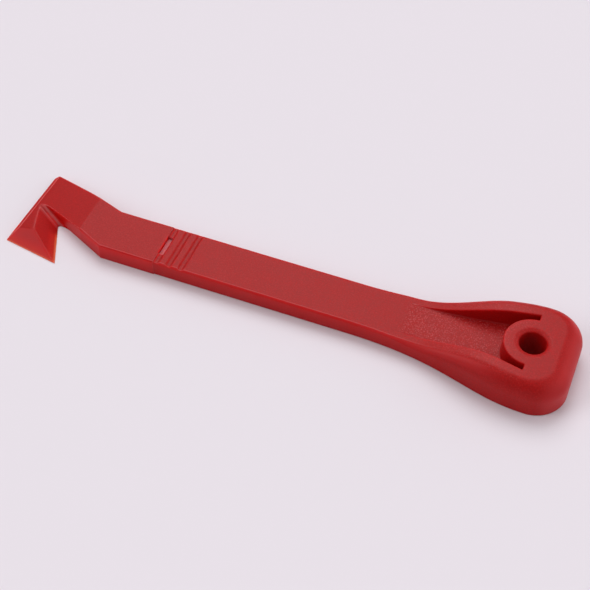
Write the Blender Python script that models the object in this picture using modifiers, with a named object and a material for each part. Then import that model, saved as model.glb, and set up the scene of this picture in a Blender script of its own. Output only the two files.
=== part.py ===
"""Moulded plastic hook tool.

A hook head with a tongue plugs into a flared handle. The tool lies on its back along X, with the hook
at -X, the hang hole at +X and +Z up. All sizes are in metres.
"""

import bmesh
import bpy
from math import asin, cos, pi, radians, sin, tan
from mathutils import Matrix, Vector
from mathutils.geometry import interpolate_bezier

TOOL_NAME = "hook_tool"

# Overall sizes
LENGTH = 0.2254
HEAD_LENGTH = 0.0623
SHANK_WIDTH = 0.0200
SHANK_THICKNESS = 0.0073
HANDLE_WIDTH = 0.0419
HANDLE_THICKNESS = 0.0147
FIT_CLEARANCE = 0.0003

# Handle plan: the shank flares into a block with round corners
CORNER_RADIUS = 0.0126
FLARE_LENGTH = 0.0711
FLARE_EASE_IN = 0.0410
FLARE_EASE_OUT = 0.0228

# Handle section: bottom and top rounds, with a little draft below the parting line
BOTTOM_ROUND = 0.0010
PARTING_HEIGHT = 0.0058
DRAFT_ANGLE = radians(1.2)
SHANK_EDGE_ROUND = 0.0008
HANDLE_EDGE_ROUND = 0.0071
ROUND_START_TO_HOLE = 0.0500
ROUND_FULL_TO_HOLE = 0.0100

# Two rails rise from the shank to the block
RAIL_START_TO_HOLE = 0.0445
RAIL_FULL_TO_HOLE = 0.0095

# Hang hole, the boss round it and the open pocket between the rails
HOLE_TO_END = 0.0167
HOLE_RADIUS = 0.0050
HOLE_RIM_ROUND = 0.0019
BOSS_RADIUS = 0.0107
SLOT_WIDTH = 0.0025
SLOT_END_TO_HOLE = 0.0004
POCKET_START_TO_HOLE = 0.0495
POCKET_START_WIDTH = 0.0147
POCKET_EASE_IN = 0.0220
POCKET_EASE_OUT = 0.0140
POCKET_END_SLOPE = 0.20
POCKET_FLOOR_DROP = 0.00015

# Three grooves across the shank, the first one at the seam
GROOVE_COUNT = 3
GROOVE_PITCH = 0.0051
GROOVE_WIDTH = 0.0021
GROOVE_FLOOR_WIDTH = 0.0012
GROOVE_DEPTH = 0.0007

# Tongue on the head, and its key in the slot of the first groove
TONGUE_LENGTH = 0.0240
TONGUE_WIDTH = 0.0120
TONGUE_THICKNESS = 0.0026
TONGUE_HEIGHT = 0.0017
KEY_LENGTH = 0.0094
KEY_WIDTH = 0.0016
KEY_RISE = 0.0006

# Hook head plan, measured from the hook's end edge and from the tool's middle line
BEND_TO_EDGE = 0.0392
FOLD_TO_EDGE = 0.0280
NECK_ANGLE = radians(25.0)
BACK_ANGLE = radians(18.4)
EDGE_SKEW = radians(1.6)
CORNER_REACH = 0.0153
BARB_TIP_TO_EDGE = 0.0240
BARB_TIP_REACH = 0.0195
BARB_ANGLE = radians(25.0)
NOTCH_ROUND = 0.00225

# Hook head bevels: the top falls to the end, and three edges are ground down towards the table
TOP_FALL = radians(8.5)
END_BEVEL = radians(46.0)
SCRAPER_BEVEL = radians(29.5)
BARB_BEVEL = radians(27.0)
EDGE_LAND = 0.0003

# Fineness of round shapes
FLARE_STEPS = 22
CORNER_STEPS = 12
TOP_ROUND_STEPS = 6
BOTTOM_ROUND_STEPS = 3
WALL_STEPS = 14
BOSS_STEPS = 28
HOLE_STEPS = 48
RIM_STEPS = 5
NOTCH_STEPS = 8

# Cutters stand past the faces that they cut by this much
OVERCUT = 0.0040

# Places along X
HANDLE_END_X = LENGTH / 2
HOOK_EDGE_X = -LENGTH / 2
SEAM_X = HOOK_EDGE_X + HEAD_LENGTH
HANDLE_START_X = SEAM_X + FIT_CLEARANCE / 2
SHOULDER_X = SEAM_X - FIT_CLEARANCE / 2
HOLE_X = HANDLE_END_X - HOLE_TO_END
BEND_X = HOOK_EDGE_X + BEND_TO_EDGE
FOLD_X = HOOK_EDGE_X + FOLD_TO_EDGE
HALF_SHANK = SHANK_WIDTH / 2
HALF_HANDLE = HANDLE_WIDTH / 2

RED = (0.42, 0.030, 0.032, 1.0)
HEAD_RED = (0.40, 0.022, 0.024, 1.0)


def clear_scene():
    """Remove every object that the file opens with."""
    for old in list(bpy.data.objects):
        bpy.data.objects.remove(old, do_unlink=True)


def new_collection(name):
    """Add a collection to the scene."""
    collection = bpy.data.collections.new(name)
    bpy.context.scene.collection.children.link(collection)
    return collection


def plastic(name, colour, roughness):
    """Moulded plastic with a plain colour."""
    material = bpy.data.materials.new(name)
    material.use_nodes = True
    shader = material.node_tree.nodes["Principled BSDF"]
    shader.inputs["Base Color"].default_value = colour
    shader.inputs["Roughness"].default_value = roughness
    shader.inputs["Metallic"].default_value = 0.0
    material.diffuse_color = colour
    return material


def add_object(name, mesh, collection):
    """Link a mesh as a new object."""
    item = bpy.data.objects.new(name, mesh)
    collection.objects.link(item)
    return item


def as_cutter(item):
    """Keep a helper shape out of the finished model."""
    item.hide_render = True
    item.display_type = "WIRE"
    return item


def mesh_from(bm, name):
    """Close a bmesh into a mesh with its faces pointing out."""
    bmesh.ops.recalc_face_normals(bm, faces=bm.faces)
    mesh = bpy.data.meshes.new(name)
    bm.to_mesh(mesh)
    bm.free()
    return mesh


def box(name, low, high, collection, frame=None):
    """Box between two corners of a frame."""
    low = Vector(low)
    high = Vector(high)
    size = high - low
    place = Matrix.Translation((low + high) / 2) @ Matrix.Diagonal((size.x, size.y, size.z, 1.0))
    bm = bmesh.new()
    bmesh.ops.create_cube(bm, size=1.0, matrix=(frame or Matrix.Identity(4)) @ place)
    return add_object(name, mesh_from(bm, name), collection)


def prism(name, outline, low, high, collection, frame=None):
    """Flat outline drawn as a filled curve, extruded from low to high and made a mesh."""
    curve = bpy.data.curves.new(name, "CURVE")
    curve.dimensions = "2D"
    curve.fill_mode = "BOTH"
    curve.extrude = (high - low) / 2
    spline = curve.splines.new("POLY")
    spline.points.add(len(outline) - 1)
    for point, (x, y) in zip(spline.points, outline):
        point.co = (x, y, 0.0, 1.0)
    spline.use_cyclic_u = True
    drawn = add_object(name + "_outline", curve, collection)
    drawn.matrix_world = (frame or Matrix.Identity(4)) @ Matrix.Translation((0.0, 0.0, (low + high) / 2))
    bpy.context.view_layer.update()
    shape = bpy.data.meshes.new_from_object(drawn.evaluated_get(bpy.context.evaluated_depsgraph_get()))
    shape.transform(drawn.matrix_world)
    bpy.data.objects.remove(drawn, do_unlink=True)
    bm = bmesh.new()
    bm.from_mesh(shape)
    bmesh.ops.remove_doubles(bm, verts=bm.verts, dist=0.000001)
    bpy.data.meshes.remove(shape)
    return add_object(name, mesh_from(bm, name), collection)


def combine(target, other, operation):
    """Add an exact Boolean to a piece."""
    step = target.modifiers.new(operation.lower() + "_" + other.name, "BOOLEAN")
    step.operation = operation
    step.solver = "EXACT"
    step.object = other


def axes(origin, along, up):
    """Frame at a point with X along a direction and Z along another that is square to it."""
    along = Vector(along).normalized()
    up = Vector(up).normalized()
    across = up.cross(along)
    frame = Matrix((along, across, up)).transposed().to_4x4()
    frame.translation = origin
    return frame


def ease(x, start, full):
    """Smooth rise from 0 at start to 1 at full."""
    t = min(max((x - start) / (full - start), 0.0), 1.0)
    return t * t * (3.0 - 2.0 * t)


def top_level(x):
    """Height of the shank, rails and block at x."""
    rise = ease(x, HOLE_X - RAIL_START_TO_HOLE, HOLE_X - RAIL_FULL_TO_HOLE)
    return SHANK_THICKNESS + (HANDLE_THICKNESS - SHANK_THICKNESS) * rise


def edge_round(x):
    """Radius of the top edge, which grows from the shank to the block."""
    start = HOLE_X - ROUND_START_TO_HOLE
    full = HOLE_X - ROUND_FULL_TO_HOLE
    share = min(max((x - start) / (full - start), 0.0), 1.0)
    return SHANK_EDGE_ROUND + (HANDLE_EDGE_ROUND - SHANK_EDGE_ROUND) * share


def bezier(start, start_handle, end_handle, end, steps):
    """Points along a curve in the plan, both ends included."""
    flat = [Vector((x, y, 0.0)) for x, y in (start, start_handle, end_handle, end)]
    return [point.to_2d() for point in interpolate_bezier(*flat, steps + 1)]


def handle_side():
    """Half of the handle's plan from the seam to the straight end, with outward normals."""
    corner_x = HANDLE_END_X - CORNER_RADIUS
    corner_y = HALF_HANDLE - CORNER_RADIUS
    flare_x = corner_x - FLARE_LENGTH
    side = [(Vector((HANDLE_START_X, HALF_SHANK)), Vector((0.0, 1.0)))]
    flare = bezier(
        (flare_x, HALF_SHANK),
        (flare_x + FLARE_EASE_IN, HALF_SHANK),
        (corner_x - FLARE_EASE_OUT, HALF_HANDLE),
        (corner_x, HALF_HANDLE),
        FLARE_STEPS,
    )
    for before, here, after in zip(flare[:1] + flare[:-1], flare, flare[1:] + flare[-1:]):
        run = (after - before).normalized()
        side.append((here, Vector((-run.y, run.x))))
    for step in range(1, CORNER_STEPS + 1):
        turn = pi / 2 * (1.0 - step / CORNER_STEPS)
        outward = Vector((cos(turn), sin(turn)))
        side.append((Vector((corner_x, corner_y)) + outward * CORNER_RADIUS, outward))
    return side


def handle_section(x):
    """Inset and height of each level of the handle's side at x, from the underside to the top."""
    levels = []
    for step in range(BOTTOM_ROUND_STEPS + 1):
        turn = pi / 2 * step / BOTTOM_ROUND_STEPS
        height = BOTTOM_ROUND * (1.0 - cos(turn))
        draft = (PARTING_HEIGHT - height) * tan(DRAFT_ANGLE)
        levels.append((draft + BOTTOM_ROUND * (1.0 - sin(turn)), height))
    levels.append((0.0, PARTING_HEIGHT))
    top = top_level(x)
    radius = edge_round(x)
    for step in range(TOP_ROUND_STEPS + 1):
        turn = pi / 2 * step / TOP_ROUND_STEPS
        levels.append((radius * (1.0 - cos(turn)), top - radius * (1.0 - sin(turn))))
    return levels


def handle_shell(collection, material):
    """Handle without its cuts: level lines of the plan, lofted from the underside to the top."""
    bm = bmesh.new()
    columns = []
    for point, outward in handle_side():
        inset_points = [(point - outward * inset, height) for inset, height in handle_section(point.x)]
        far = [bm.verts.new((flat.x, flat.y, height)) for flat, height in inset_points]
        near = [bm.verts.new((flat.x, -flat.y, height)) for flat, height in inset_points]
        columns.append((far, near))
    for (far, near), (next_far, next_near) in zip(columns[:-1], columns[1:]):
        for level in range(len(far) - 1):
            bm.faces.new((far[level], far[level + 1], next_far[level + 1], next_far[level]))
            bm.faces.new((near[level], next_near[level], next_near[level + 1], near[level + 1]))
        for level in (0, -1):
            bm.faces.new((far[level], next_far[level], next_near[level], near[level]))
    last_far, last_near = columns[-1]
    for level in range(len(last_far) - 1):
        bm.faces.new((last_far[level], last_far[level + 1], last_near[level + 1], last_near[level]))
    first_far, first_near = columns[0]
    bm.faces.new(first_far + first_near[::-1])
    item = add_object("handle", mesh_from(bm, "handle"), collection)
    item.data.materials.append(material)
    return item


def pocket_cutter(collection):
    """C-shaped space between the two rails and round the boss."""
    start_x = HOLE_X - POCKET_START_TO_HOLE
    end_x = HOLE_X - SLOT_END_TO_HOLE
    start_y = POCKET_START_WIDTH / 2
    end_y = BOSS_RADIUS + SLOT_WIDTH
    wall = bezier(
        (start_x, start_y),
        (start_x + POCKET_EASE_IN, start_y),
        (end_x - POCKET_EASE_OUT, end_y - POCKET_EASE_OUT * POCKET_END_SLOPE),
        (end_x, end_y),
        WALL_STEPS,
    )
    boss = []
    first = pi / 2 + asin(SLOT_END_TO_HOLE / BOSS_RADIUS)
    for step in range(BOSS_STEPS + 1):
        turn = first + (pi - first) * 2.0 * step / BOSS_STEPS
        boss.append(Vector((HOLE_X + BOSS_RADIUS * cos(turn), BOSS_RADIUS * sin(turn))))
    near_wall = [Vector((point.x, -point.y)) for point in wall]
    outline = [tuple(point) for point in wall + boss + near_wall[::-1]]
    floor = SHANK_THICKNESS - POCKET_FLOOR_DROP
    return as_cutter(prism("pocket_cutter", outline, floor, HANDLE_THICKNESS + OVERCUT, collection))


def hole_cutter(collection):
    """Hang hole with a rounded rim at the top, turned from its profile."""
    profile = [(0.0, HANDLE_THICKNESS + OVERCUT), (HOLE_RADIUS + HOLE_RIM_ROUND, HANDLE_THICKNESS + OVERCUT)]
    for step in range(RIM_STEPS + 1):
        turn = pi / 2 * step / RIM_STEPS
        out = HOLE_RADIUS + HOLE_RIM_ROUND * (1.0 - sin(turn))
        profile.append((out, HANDLE_THICKNESS - HOLE_RIM_ROUND * (1.0 - cos(turn))))
    profile += [(HOLE_RADIUS, -OVERCUT), (0.0, -OVERCUT)]
    mesh = bpy.data.meshes.new("hole_cutter")
    edges = [(index, index + 1) for index in range(len(profile) - 1)]
    mesh.from_pydata([(out, 0.0, height) for out, height in profile], edges, [])
    item = as_cutter(add_object("hole_cutter", mesh, collection))
    item.location = (HOLE_X, 0.0, 0.0)
    turned = item.modifiers.new("turned", "SCREW")
    turned.steps = HOLE_STEPS
    turned.render_steps = HOLE_STEPS
    turned.use_merge_vertices = True
    turned.merge_threshold = 0.00001
    return item


def groove_cutter(index, collection):
    """One groove across the shank, with sloping sides. The first is open at the seam."""
    left = SEAM_X + GROOVE_PITCH * index
    slope = (GROOVE_WIDTH - GROOVE_FLOOR_WIDTH) / 2
    side_run = slope * (GROOVE_DEPTH + OVERCUT) / GROOVE_DEPTH
    floor = SHANK_THICKNESS - GROOVE_DEPTH
    top = SHANK_THICKNESS + OVERCUT
    right = left + GROOVE_WIDTH
    outline = [
        (right - slope, floor),
        (right - slope + side_run, top),
        (left + slope - side_run, top),
        (left + slope, floor),
    ]
    if index == 0:
        outline[2:] = [(left - OVERCUT, top), (left - OVERCUT, floor)]
    frame = axes((0.0, 0.0, 0.0), (1.0, 0.0, 0.0), (0.0, -1.0, 0.0))
    reach = HALF_SHANK + OVERCUT
    return as_cutter(prism(f"groove_cutter_{index + 1}", outline, -reach, reach, collection, frame))


def tongue_box(name, clearance, start_x, collection):
    """Tongue of the head, or with clearance its socket in the handle."""
    half = TONGUE_WIDTH / 2 + clearance
    low = (start_x, -half, TONGUE_HEIGHT - clearance)
    high = (SEAM_X + TONGUE_LENGTH + clearance, half, TONGUE_HEIGHT + TONGUE_THICKNESS + clearance)
    return as_cutter(box(name, low, high, collection))


def key_box(name, clearance, start_x, top, collection):
    """Key on the tongue, or with clearance its slot in the first groove."""
    half = KEY_LENGTH / 2 + clearance
    low = (start_x, -half, TONGUE_HEIGHT + TONGUE_THICKNESS / 2)
    high = (SEAM_X + KEY_WIDTH + clearance, half, top)
    return as_cutter(box(name, low, high, collection))


def make_handle(parts, cutters, material):
    """Handle with its pocket, hang hole, grooves and the socket for the head."""
    handle = handle_shell(parts, material)
    combine(handle, pocket_cutter(cutters), "DIFFERENCE")
    combine(handle, hole_cutter(cutters), "DIFFERENCE")
    for index in range(GROOVE_COUNT):
        combine(handle, groove_cutter(index, cutters), "DIFFERENCE")
    combine(handle, tongue_box("socket_cutter", FIT_CLEARANCE, SEAM_X - OVERCUT, cutters), "DIFFERENCE")
    slot_top = SHANK_THICKNESS + OVERCUT
    combine(handle, key_box("slot_cutter", FIT_CLEARANCE, SEAM_X - OVERCUT, slot_top, cutters), "DIFFERENCE")
    return handle


def facet_cutter(name, start, end, height, bevel, collection):
    """Block whose flat side rises from the line start-end at an angle, over the head's middle."""
    along = (end - start).to_3d().normalized()
    inward = Vector((-along.y, along.x, 0.0))
    up = Vector((0.0, 0.0, cos(bevel))) - inward * sin(bevel)
    middle = ((start + end) / 2).to_3d() + Vector((0.0, 0.0, height))
    half = (end - start).length / 2 + OVERCUT
    reach = HEAD_LENGTH
    frame = axes(middle, along, up)
    return as_cutter(box(name, (-half, -reach, 0.0), (half, reach, reach), collection, frame))


def notch_cutter(barb_tip, collection):
    """Wedge between the neck's side and the barb's bevel, with a round along its edge."""
    wall_run = Vector((-cos(NECK_ANGLE), sin(NECK_ANGLE), 0.0))
    wall_out = Vector((-sin(NECK_ANGLE), -cos(NECK_ANGLE), 0.0))
    barb_run = Vector((-sin(BARB_ANGLE), cos(BARB_ANGLE), 0.0))
    barb_side = Vector((cos(BARB_ANGLE), sin(BARB_ANGLE), 0.0))
    barb_out = barb_side * sin(BARB_BEVEL) + Vector((0.0, 0.0, cos(BARB_BEVEL)))
    bend = Vector((BEND_X, -HALF_SHANK, 0.0))
    tip = barb_tip.to_3d()
    along_barb = (bend - tip).dot(wall_out) / barb_run.dot(wall_out)
    corner = tip + barb_run * along_barb
    valley = wall_out.cross(barb_out).normalized()
    down_wall = wall_out.cross(valley).normalized()
    if down_wall.dot(barb_out) < 0.0:
        down_wall = -down_wall
    down_barb = barb_out.cross(valley).normalized()
    if down_barb.dot(wall_out) < 0.0:
        down_barb = -down_barb
    half_angle = down_wall.angle(down_barb) / 2
    reach = LENGTH / 2
    centre = NOTCH_ROUND / sin(half_angle)
    sweep = pi / 2 - half_angle
    outline = []
    for step in range(NOTCH_STEPS + 1):
        turn = pi + sweep * (1.0 - 2.0 * step / NOTCH_STEPS)
        outline.append((centre + NOTCH_ROUND * cos(turn), NOTCH_ROUND * sin(turn)))
    outline.append((reach * cos(half_angle), reach * sin(half_angle)))
    outline.append((reach * cos(half_angle), -reach * sin(half_angle)))
    frame = axes(corner, down_wall + down_barb, valley)
    return as_cutter(prism("notch_cutter", outline, -reach, reach, collection, frame))


def make_hook_head(parts, cutters, material):
    """Hook head: the plan of the neck and hook, cut by the notch and the bevels, with its tongue."""
    corner = Vector((HOOK_EDGE_X, -CORNER_REACH))
    barb_tip = Vector((HOOK_EDGE_X + BARB_TIP_TO_EDGE, -BARB_TIP_REACH))
    back_slope = tan(BACK_ANGLE)
    skew = tan(EDGE_SKEW)
    back_rise = HALF_SHANK + (BEND_X - HOOK_EDGE_X) * back_slope + CORNER_REACH
    back_y = back_rise / (1.0 + skew * back_slope) - CORNER_REACH
    back_corner = Vector((HOOK_EDGE_X + (back_y + CORNER_REACH) * skew, back_y))
    past_tip = barb_tip + (barb_tip - corner).normalized() * OVERCUT
    outline = [
        (SHOULDER_X, HALF_SHANK),
        (BEND_X, HALF_SHANK),
        tuple(back_corner),
        tuple(corner),
        tuple(past_tip),
        ((past_tip.x + BEND_X) / 2, -HALF_SHANK),
        (SHOULDER_X, -HALF_SHANK),
    ]
    head = prism("hook_head", outline, 0.0, SHANK_THICKNESS, parts)
    head.data.materials.append(material)
    combine(head, notch_cutter(barb_tip, cutters), "DIFFERENCE")
    fold_far = Vector((FOLD_X, HEAD_LENGTH))
    fold_near = Vector((FOLD_X, -HEAD_LENGTH))
    top = facet_cutter("top_cutter", fold_far, fold_near, SHANK_THICKNESS, TOP_FALL, cutters)
    combine(head, top, "DIFFERENCE")
    end = facet_cutter("end_cutter", back_corner, corner, EDGE_LAND, END_BEVEL, cutters)
    combine(head, end, "DIFFERENCE")
    scraper = facet_cutter("scraper_cutter", corner, barb_tip, EDGE_LAND, SCRAPER_BEVEL, cutters)
    combine(head, scraper, "DIFFERENCE")
    combine(head, tongue_box("tongue", 0.0, SHOULDER_X - OVERCUT, cutters), "UNION")
    key_top = TONGUE_HEIGHT + TONGUE_THICKNESS + KEY_RISE
    combine(head, key_box("key", 0.0, SHOULDER_X - OVERCUT / 2, key_top, cutters), "UNION")
    return head


def shade(item):
    """Smooth the round faces and keep the true edges sharp."""
    item.data.shade_smooth()
    item.data.set_sharp_from_angle(angle=radians(30.0))


def main():
    clear_scene()
    parts = new_collection(TOOL_NAME)
    cutters = new_collection(TOOL_NAME + "_cutters")
    handle = make_handle(parts, cutters, plastic("handle_plastic", RED, 0.50))
    head = make_hook_head(parts, cutters, plastic("head_plastic", HEAD_RED, 0.42))
    shade(handle)
    shade(head)


main()
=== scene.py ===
"""Looks of a moulded plastic hive tool.

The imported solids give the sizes. Both pieces are made again here as fine closed skins with the small rounds
of a moulding, and get red plastic with its grain. The stage is a pale table under soft light.
"""

from math import asin, cos, hypot, pi, radians, sin, tan

import bmesh
import bpy
import numpy as np
from bpy.props import FloatProperty, FloatVectorProperty, PointerProperty
from bpy.types import Operator, Panel, PropertyGroup
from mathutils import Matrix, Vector
from mathutils.geometry import interpolate_bezier


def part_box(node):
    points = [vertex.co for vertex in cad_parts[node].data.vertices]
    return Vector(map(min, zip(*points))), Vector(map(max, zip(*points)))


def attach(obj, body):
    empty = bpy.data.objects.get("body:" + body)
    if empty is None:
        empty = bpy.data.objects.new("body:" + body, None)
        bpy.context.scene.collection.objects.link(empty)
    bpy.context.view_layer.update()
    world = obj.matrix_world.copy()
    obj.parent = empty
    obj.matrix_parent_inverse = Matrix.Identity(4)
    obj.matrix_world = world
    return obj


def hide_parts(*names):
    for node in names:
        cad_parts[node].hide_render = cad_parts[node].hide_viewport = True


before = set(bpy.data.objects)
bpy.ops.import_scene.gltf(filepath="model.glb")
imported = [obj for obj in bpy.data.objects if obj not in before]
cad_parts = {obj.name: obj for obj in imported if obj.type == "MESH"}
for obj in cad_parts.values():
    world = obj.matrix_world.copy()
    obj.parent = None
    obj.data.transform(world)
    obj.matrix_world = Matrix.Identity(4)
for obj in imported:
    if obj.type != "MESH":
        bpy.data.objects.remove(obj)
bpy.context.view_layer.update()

bl_info = {
    "name": "Hive tool",
    "version": (1, 0, 0),
    "blender": (4, 5, 0),
    "location": "View3D > Sidebar > Hive tool",
    "description": "Fine skins, plastic finishes and a table for a moulded hive tool",
    "category": "Object",
}

HANDLE_LOW, HANDLE_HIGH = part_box("handle")
HEAD_LOW, HEAD_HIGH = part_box("hook_head")
PIECE_GAP = 0.0003
SEAM_X = HANDLE_LOW.x - PIECE_GAP / 2
SHANK_WIDTH = 0.0200
SHANK_TOP = HEAD_HIGH.z
WITNESS_GAP = 0.00001

# How far shapes run on past a cut, and how finely they are made.
OVERRUN = 0.0015
PLAN_OVERRUN = 0.01
TIP_OVERRUN = 0.004
ABOVE_ALL = 1.0
SLIVER = 0.00008
CUT_TOLERANCE = 1e-7
CELLS_BELOW = 2.5
CELLS_ABOVE = 3.0
FLARE_STEPS = 90
CORNER_STEPS = 40
POCKET_STEPS = 60
BOSS_STEPS = 90
GROOVE_COUNT = 3

# Ways to the lights, and how widely the ceiling and the wall spread round theirs.
CEILING_SIDE = (-0.45, 0.65, 0.60)
CEILING_SPREAD = (-0.1, 0.7)
CEILING_HEIGHT = (0.3, 0.75)
WALL_SIDE = (0.90, 0.22, 0.37)
WALL_SPREAD = (0.50, 0.90)
LAMP_SIDE = (-0.23, 0.52, 0.82)
WINDOW_SIDE = (-0.74, -0.40, 0.54)
LAMP_WIDTH = radians(40.0)
WINDOW_WIDTH = radians(34.0)

TABLE_REACH = 12.0
TABLE_LEVEL = -0.00002
TABLE_ROUGHNESS = 0.7
TABLE_GLOSS = 0.2
CAMERA_PLACE = (0.119788, -0.287836, 0.363720)
CAMERA_AIM = (-0.241111, 0.603033, -0.760406)
SENSOR_WIDTH = 36.0
NEAR_CLIP = 0.01

# Fineness of the plastic's clouds and wear, in patches to a metre, and what makes a pale edge, which is wear
# and painted highlight, or a speck.
CLOUD_PATCHES = 160.0
WEAR_PATCHES = 420.0
EDGE_POINTS = (0.520, 0.560)
WEAR_BREAKS = (0.25, 0.65)
SPECK_PITS = (0.60, 0.10)
SPECK_TONES = (0.30, 0.62)
FINE_HEIGHT = 0.7
PIT_HEIGHT = 0.3

# Strengths over their red of the tones that places on the two pieces get: most are painted light, glow, sheen
# and highlights; the worn tops are wear and painted sheen, and the wedge's grain and the end's roughness are
# the plastic's own.
RIM_HIGHLIGHT = 0.40
WORN_AND_SHEEN_PALE = 0.05
SHANK_PAINTED_LIGHT = 0.45
SHANK_PAINTED_GLOW = 0.18
HAZE_PAINTED_SHEEN = 0.8
GROOVES_PAINTED_GLOW = 0.2
FIRST_GROOVE_PAINTED_GLOW = 0.6
HANDLE_LAND_PAINTED_GLOW = 0.6
SLOT_END_PAINTED_LIGHT = 0.8
WEDGE_GRAIN = 0.3
SCRAPER_PAINTED_LIGHT = 0.9
BARB_PAINTED_GLOW = 0.12
WEDGE_PAINTED_GLOW = 0.4
THIN_WEDGE_PAINTED_GLOW = 0.5
ROOT_PAINTED_GLOW = 0.8
NECK_PAINTED_GLOW = 0.08
NECK_UPPER_PAINTED_GLOW = 0.30
NECK_END_PAINTED_GLOW = 0.45
HEAD_LAND_PAINTED_GLOW = 0.4
SOFT_GLOW = 0.12
SHARP_GLOW = 0.60
ROOT_LINES_HIGHLIGHT = 0.48
RIDGE_HIGHLIGHT = 0.8
END_ROUGHNESS = 0.5
UNLIT = (0.0, 0.0, 0.0)

# Spans of masks that more than one place uses, and the turn and width of the notch's two painted highlight
# lines.
UPPER_WALL = (0.0010, SHANK_TOP)
LAND_UPWARD = (0.4, 0.7)
ON_BEVEL = (0.975, 0.99)
THIN_ROOT_HIGHLIGHT = (0.76, (0.09, 0.02))
WIDE_ROOT_HIGHLIGHT = (0.12, (0.36, 0.14))


def labelled(group):
    """Make the properties of a group, each with the label that its own name spells."""
    for name, make in group.__annotations__.items():
        group.__annotations__[name] = make(name.replace("_", " ").capitalize())
    return group


def number(description, default, **kind):
    """Number that a user may change."""
    return lambda name: FloatProperty(name=name, description=description, default=default, **kind)


def length(description, default):
    """Size in metres."""
    return number(description, default, unit="LENGTH", precision=5)


def angle(description, degrees):
    """Angle, given in degrees."""
    return number(description, radians(degrees), subtype="ANGLE")


def share(description, default):
    """Amount from none to all."""
    return number(description, default, subtype="FACTOR", min=0.0, max=1.0)


def colour(description, default):
    """Linear colour."""
    kind = {"size": 3, "subtype": "COLOR"}
    return lambda name: FloatVectorProperty(name=name, description=description, default=default, **kind)


@labelled
class HandleSizes(PropertyGroup):
    """Sizes of the handle."""

    cell: length("Fineness of the handle's skin", 0.00025)
    corner: length("Corner radius of the block in plan", 0.0126)
    flare: length("Length of the widening from shank to block", 0.0711)
    flare_in: length("Reach of the flare's soft start", 0.0410)
    flare_out: length("Reach of the flare's soft end", 0.0228)
    bottom_round: length("Radius of the lower edge", 0.0005)
    parting: length("Height of the widest line", 0.0058)
    draft: angle("Lean of the side below the parting line", 1.2)
    shank_round: length("Radius of the shank's top edge", 0.0011)
    block_round: length("Height of the round of the block's top edge", 0.0071)
    block_reach: length("Reach inward of that round at the block's sides", 0.0050)
    end_reach: length("Reach inward of that round at the block's end", 0.0074)
    round_start: length("From the hole to where the top edge starts to grow", 0.0500)
    round_full: length("From the hole to where the top edge is full", 0.0100)
    rail_start: length("From the hole to where the rails start", 0.0445)
    rail_full: length("From the hole to where the rails are full", 0.0095)
    hole_to_end: length("From the hang hole's axis to the end", 0.0167)
    hole: length("Radius of the hang hole", 0.0050)
    rim_width: length("Width of the dished rim of the hole", 0.0017)
    rim_depth: length("Depth of the dished rim of the hole", 0.00062)
    rim_round: length("Round of the rim's inner edge", 0.00045)
    rim_edge: length("Round of the rim's outer edge", 0.00012)
    boss: length("Radius of the boss round the hole", 0.0107)
    slot: length("Width of the slots beside the boss", 0.0025)
    slot_end: length("From the slots' ends to the hole's axis", 0.0004)
    pocket_start: length("From the pocket's start to the hole's axis", 0.0495)
    pocket_width: length("Width of the pocket at its start", 0.0147)
    pocket_in: length("Reach of the pocket wall's soft start", 0.0220)
    pocket_out: length("Reach of the pocket wall's soft end", 0.0140)
    pocket_slope: number("Slope of the pocket wall at its end", 0.20)
    pocket_drop: length("Depth of the pocket's floor below the shank's top", 0.00035)
    pocket_fall: length("Length over which the pocket's floor sinks", 0.0080)
    pocket_lip: length("Round of the pocket's upper edge", 0.00045)
    lip_start: length("From the pocket's start to where its lip starts", 0.0040)
    lip_full: length("From the pocket's start to where its lip is full", 0.0240)
    pocket_foot: length("Round where the pocket's wall meets its floor", 0.00050)
    groove_pitch: length("From one groove to the next", 0.0051)
    groove_width: length("Width of a groove at the top", 0.0025)
    groove_floor: length("Width of a groove's floor", 0.0013)
    groove_depth: length("Depth of a groove", 0.00045)
    groove_lip: length("Round of a groove's edges", 0.00015)
    groove_foot: length("Round where a groove's walls meet its floor", 0.0001)
    groove_land: length("From the seam to the first groove", 0.00015)


@labelled
class HeadSizes(PropertyGroup):
    """Sizes of the hook head."""

    cell: length("Fineness of the head's skin", 0.00025)
    bend: length("From the hook's end edge to the neck's bend", 0.0392)
    fold: length("From the hook's end edge to the fold in the top", 0.0280)
    neck_angle: angle("Lean of the neck's near side", 25.0)
    back_angle: angle("Lean of the neck's far side", 18.4)
    edge_skew: angle("Lean of the end edge in plan", 1.6)
    corner_reach: length("From the middle line to the scraper's corner", 0.0153)
    barb_tip: length("From the end edge to the barb's tip", 0.02435)
    barb_reach: length("From the middle line to the barb's tip", 0.0195)
    barb_angle: angle("Lean of the barb's edge in plan", 25.0)
    notch_round: length("Radius along the notch's root", 0.00190)
    top_fall: angle("Fall of the head's top to the end", 8.5)
    end_bevel: angle("Bevel of the end edge", 46.0)
    scraper_bevel: angle("Bevel of the scraper's edge", 29.5)
    barb_bevel: angle("Bevel of the barb's edge", 27.0)
    edge_land: length("Height of the blunt edge under a bevel", 0.0003)
    neck_round: length("Round of the neck's top edges", 0.0008)
    neck_fade: length("How far before the fold the neck's round is gone", 0.006)
    neck_full: length("How far past the fold the neck's round is full", 0.002)
    ridge_round: length("Round of the ridges on the head", 0.00022)


@labelled
class JointSizes(PropertyGroup):
    """Sizes of the tongue and key that join the two pieces."""

    tongue: length("Length of the tongue past the seam", 0.0240)
    tongue_width: length("Width of the tongue", 0.0120)
    tongue_low: length("Height of the tongue's underside", 0.0017)
    tongue_high: length("Height of the tongue's top", 0.0043)
    key: length("Length of the key across the tool", 0.0094)
    key_width: length("Width of the key past the seam", 0.0021)
    key_top: length("Height of the key's top", 0.0057)
    clearance: length("Gap round the tongue", 0.0003)
    key_gap: length("Gap round the key", 0.00005)


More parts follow.
